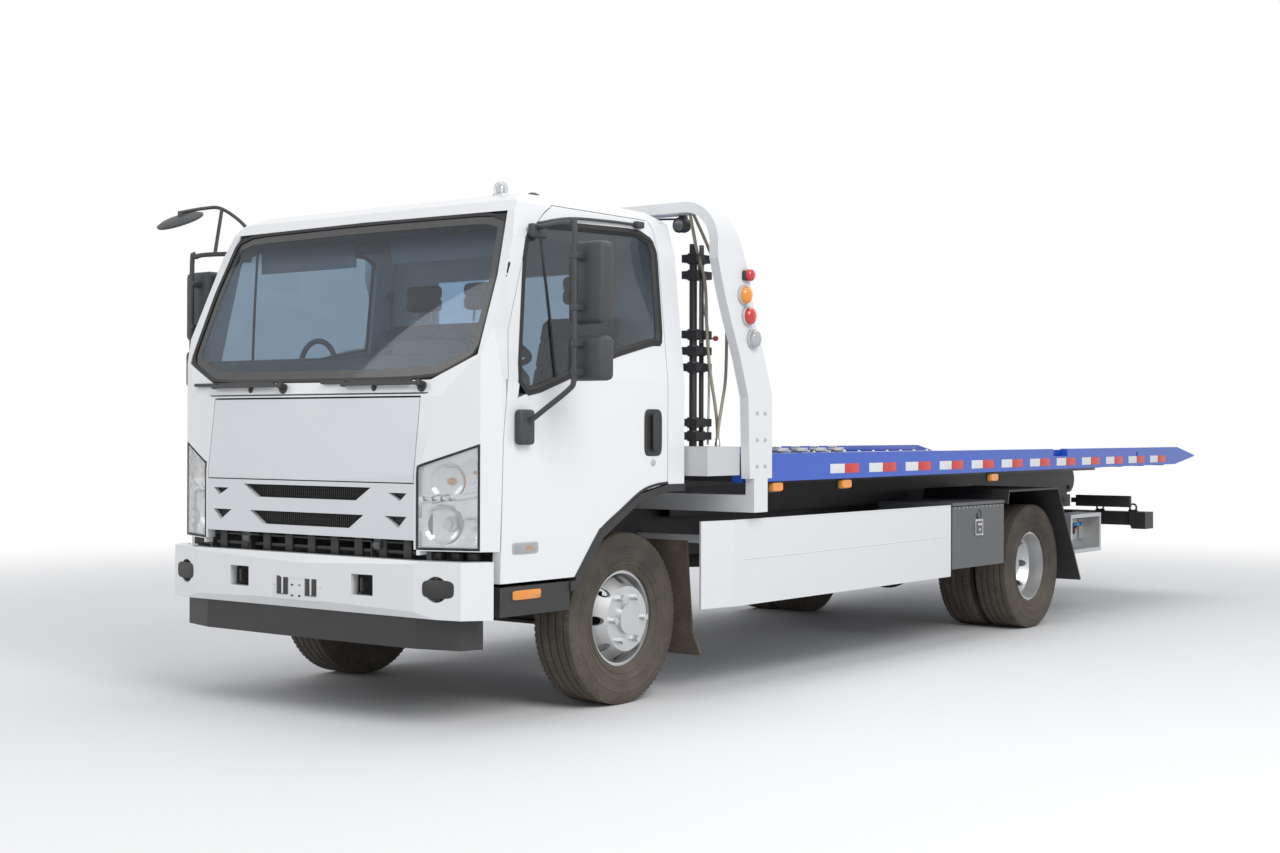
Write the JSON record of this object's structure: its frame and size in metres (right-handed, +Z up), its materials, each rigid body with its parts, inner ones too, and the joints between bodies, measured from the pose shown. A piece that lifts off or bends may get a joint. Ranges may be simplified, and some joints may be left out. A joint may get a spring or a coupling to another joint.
{
  "type": "flatbed tow truck",
  "caption": "Cab-over flatbed recovery truck with sliding, tilting deck, gantry, winch and rear wheel-lift crossbar.",
  "frame": {"origin": "on the ground under the middle of the truck's bounding box", "axes": "+Z up; +Y towards the tail, the truck's length; +X towards the truck's left side, so it drives towards -Y"},
  "size_m": [2.722, 8.11, 2.408],
  "materials": {
    "white_paint": "gloss, slightly dusty",
    "blue_paint": "semi-gloss, scuffed",
    "black_paint": "satin, dusty",
    "dark_grey_paint": "satin",
    "black_plastic": "grained",
    "skirt_aluminium": "painted white, dusty",
    "silver_paint": "satin, dusty",
    "tyre_rubber": "dusty",
    "rubber": "muddy",
    "glass": "clear, tinted",
    "lamp_lens": "clear lens",
    "amber_lens": "lens",
    "steel_rod": "polished, greased",
    "cast_metal": "rough, dirty",
    "seat_cloth": "woven",
    "grey_plastic": "grained"
  },
  "bodies": {
    "chassis": {"chassis_frame": "black_paint", "axles": "cast_metal", "leaf_springs": "cast_metal", "powertrain": "cast_metal", "fuel_tank": "dark_grey_paint", "front_bumper": "white_paint", "air_dam": "black_plastic", "front_mudguards": "rubber", "side_skirts": "skirt_aluminium", "toolboxes": "dark_grey_paint", "rear_mudguards": "black_plastic", "control_boxes": "silver_paint", "gantry": "white_paint", "equipment_tray": "white_paint", "fork_rack": "black_paint", "chassis_lamps": "amber_lens"},
    "cab": {"cab_floor": "dark_grey_paint", "step_panels": "black_plastic", "cab_back_wall": "white_paint", "cab_roof": "white_paint", "cab_pillars": "white_paint", "front_panels": "white_paint", "grille": "white_paint", "cab_lamps": "lamp_lens", "cab_glass": "glass", "dashboard": "grey_plastic", "seats": "seat_cloth"},
    "service_lid": {"service_lid": "white_paint"},
    "steering_wheel": {"steering_wheel": "black_plastic"},
    "left_wiper": {"left_wiper": "black_plastic"},
    "right_wiper": {"right_wiper": "black_plastic"},
    "left_door": {"left_door": "white_paint", "left_door_glass": "glass", "left_mirrors": "black_plastic"},
    "right_door": {"right_door": "white_paint", "right_door_glass": "glass", "right_mirrors": "black_plastic"},
    "left_knuckle": {"left_knuckle": "cast_metal"},
    "right_knuckle": {"right_knuckle": "cast_metal"},
    "front_left_wheel": {"front_left_rim": "silver_paint", "front_left_tyre": "tyre_rubber"},
    "front_right_wheel": {"front_right_rim": "silver_paint", "front_right_tyre": "tyre_rubber"},
    "rear_left_wheels": {"rear_left_rims": "silver_paint", "rear_left_tyres": "tyre_rubber"},
    "rear_right_wheels": {"rear_right_rims": "silver_paint", "rear_right_tyres": "tyre_rubber"},
    "tilt_frame": {"tilt_frame": "black_paint"},
    "lift_barrels": {"lift_barrels": "black_paint"},
    "lift_rods": {"lift_rods": "steel_rod"},
    "deck": {"deck": "blue_paint", "deck_rails": "blue_paint", "slide_rod": "steel_rod", "winch": "black_paint"},
    "winch_drum": {"winch_drum": "dark_grey_paint"},
    "underlift_boom": {"underlift_boom": "black_paint"},
    "underlift_slider": {"underlift_slider": "black_paint"},
    "crossbar": {"crossbar": "black_paint"},
    "left_toolbox_door": {"left_toolbox_door": "dark_grey_paint"},
    "right_toolbox_door": {"right_toolbox_door": "dark_grey_paint"}
  },
  "joints": [
    {"name": "cab_tilt", "type": "hinge", "parent": "chassis", "child": "cab", "pos_m": [0, -3.965, 0.77], "axis": [1, 0, 0], "range_deg": [0, 45]},
    {"name": "service_lid_hinge", "type": "hinge", "parent": "cab", "child": "service_lid", "pos_m": [0, -3.965, 1.403], "axis": [-1, 0, 0], "range_deg": [0, 70]},
    {"name": "steering_wheel_spin", "type": "hinge", "parent": "cab", "child": "steering_wheel", "pos_m": [0.48, -3.355, 1.65], "axis": [0, 0.342, 0.9397], "range_deg": [-720, 720]},
    {"name": "left_wiper_sweep", "type": "hinge", "parent": "cab", "child": "left_wiper", "pos_m": [0.67, -3.9562, 1.4606], "axis": [0, -0.9273, 0.3744], "range_deg": [-85, 0]},
    {"name": "right_wiper_sweep", "type": "hinge", "parent": "cab", "child": "right_wiper", "pos_m": [-0.205, -3.9562, 1.4606], "axis": [0, -0.9273, 0.3744], "range_deg": [-85, 0]},
    {"name": "left_door_hinge", "type": "hinge", "parent": "cab", "child": "left_door", "pos_m": [1.01, -3.836, 1.2], "axis": [0, 0, -1], "range_deg": [0, 65]},
    {"name": "right_door_hinge", "type": "hinge", "parent": "cab", "child": "right_door", "pos_m": [-1.01, -3.836, 1.2], "axis": [0, 0, 1], "range_deg": [0, 65]},
    {"name": "left_steer", "type": "hinge", "parent": "chassis", "child": "left_knuckle", "pos_m": [0.79, -2.905, 0.3985], "axis": [0, 0, 1], "range_deg": [-40, 40]},
    {"name": "right_steer", "type": "hinge", "parent": "chassis", "child": "right_knuckle", "pos_m": [-0.79, -2.905, 0.3985], "axis": [0, 0, 1], "range_deg": [-40, 40]},
    {"name": "front_left_spin", "type": "hinge", "parent": "left_knuckle", "child": "front_left_wheel", "pos_m": [0.84, -2.905, 0.3985], "axis": [1, 0, 0], "continuous": true},
    {"name": "front_right_spin", "type": "hinge", "parent": "right_knuckle", "child": "front_right_wheel", "pos_m": [-0.84, -2.905, 0.3985], "axis": [1, 0, 0], "continuous": true},
    {"name": "rear_left_spin", "type": "hinge", "parent": "chassis", "child": "rear_left_wheels", "pos_m": [0.8245, 1.27, 0.3985], "axis": [1, 0, 0], "continuous": true},
    {"name": "rear_right_spin", "type": "hinge", "parent": "chassis", "child": "rear_right_wheels", "pos_m": [-0.8245, 1.27, 0.3985], "axis": [1, 0, 0], "continuous": true},
    {"name": "deck_tilt", "type": "hinge", "parent": "chassis", "child": "tilt_frame", "pos_m": [0, 3.195, 0.85], "axis": [-1, 0, 0], "range_deg": [0, 14.5]},
    {"name": "deck_slide", "type": "slide", "parent": "tilt_frame", "child": "deck", "axis": [0, 1, 0], "range_m": [0, 3.3]},
    {"name": "winch_drum_spin", "type": "hinge", "parent": "deck", "child": "winch_drum", "pos_m": [0, -2.005, 1.23], "axis": [1, 0, 0], "continuous": true},
    {"name": "lift_barrel_pivot", "type": "hinge", "parent": "chassis", "child": "lift_barrels", "pos_m": [0, 0.595, 0.7], "axis": [1, 0, 0], "range_deg": [0, 13.44]},
    {"name": "lift_rod_stroke", "type": "slide", "parent": "lift_barrels", "child": "lift_rods", "axis": [0, 0.9842, 0.1772], "range_m": [0, 0.15847]},
    {"name": "underlift_tilt", "type": "hinge", "parent": "chassis", "child": "underlift_boom", "pos_m": [0, 2.095, 0.62], "axis": [-1, 0, 0], "range_deg": [0, 12]},
    {"name": "underlift_extend", "type": "slide", "parent": "underlift_boom", "child": "underlift_slider", "axis": [0, 1, 0], "range_m": [0, 0.9]},
    {"name": "crossbar_swivel", "type": "hinge", "parent": "underlift_slider", "child": "crossbar", "pos_m": [0, 3.445, 0.62], "axis": [0, 0, 1], "range_deg": [-20, 20]},
    {"name": "left_toolbox_door_hinge", "type": "hinge", "parent": "chassis", "child": "left_toolbox_door", "pos_m": [1.13, 0.365, 0.455], "axis": [0, 1, 0], "range_deg": [0, 90]},
    {"name": "right_toolbox_door_hinge", "type": "hinge", "parent": "chassis", "child": "right_toolbox_door", "pos_m": [-1.13, 0.365, 0.455], "axis": [0, -1, 0], "range_deg": [0, 90]}
  ],
  "couplings": [
    {"joint": "right_steer", "follows": "left_steer", "ratio": 1},
    {"joint": "steering_wheel_spin", "follows": "left_steer", "ratio": 18},
    {"joint": "right_wiper_sweep", "follows": "left_wiper_sweep", "ratio": 1},
    {"joint": "lift_barrel_pivot", "follows": "deck_tilt", "ratio": 0.89219},
    {"joint": "lift_rod_stroke", "follows": "deck_tilt", "m_per_rad": 0.61827}
  ]
}
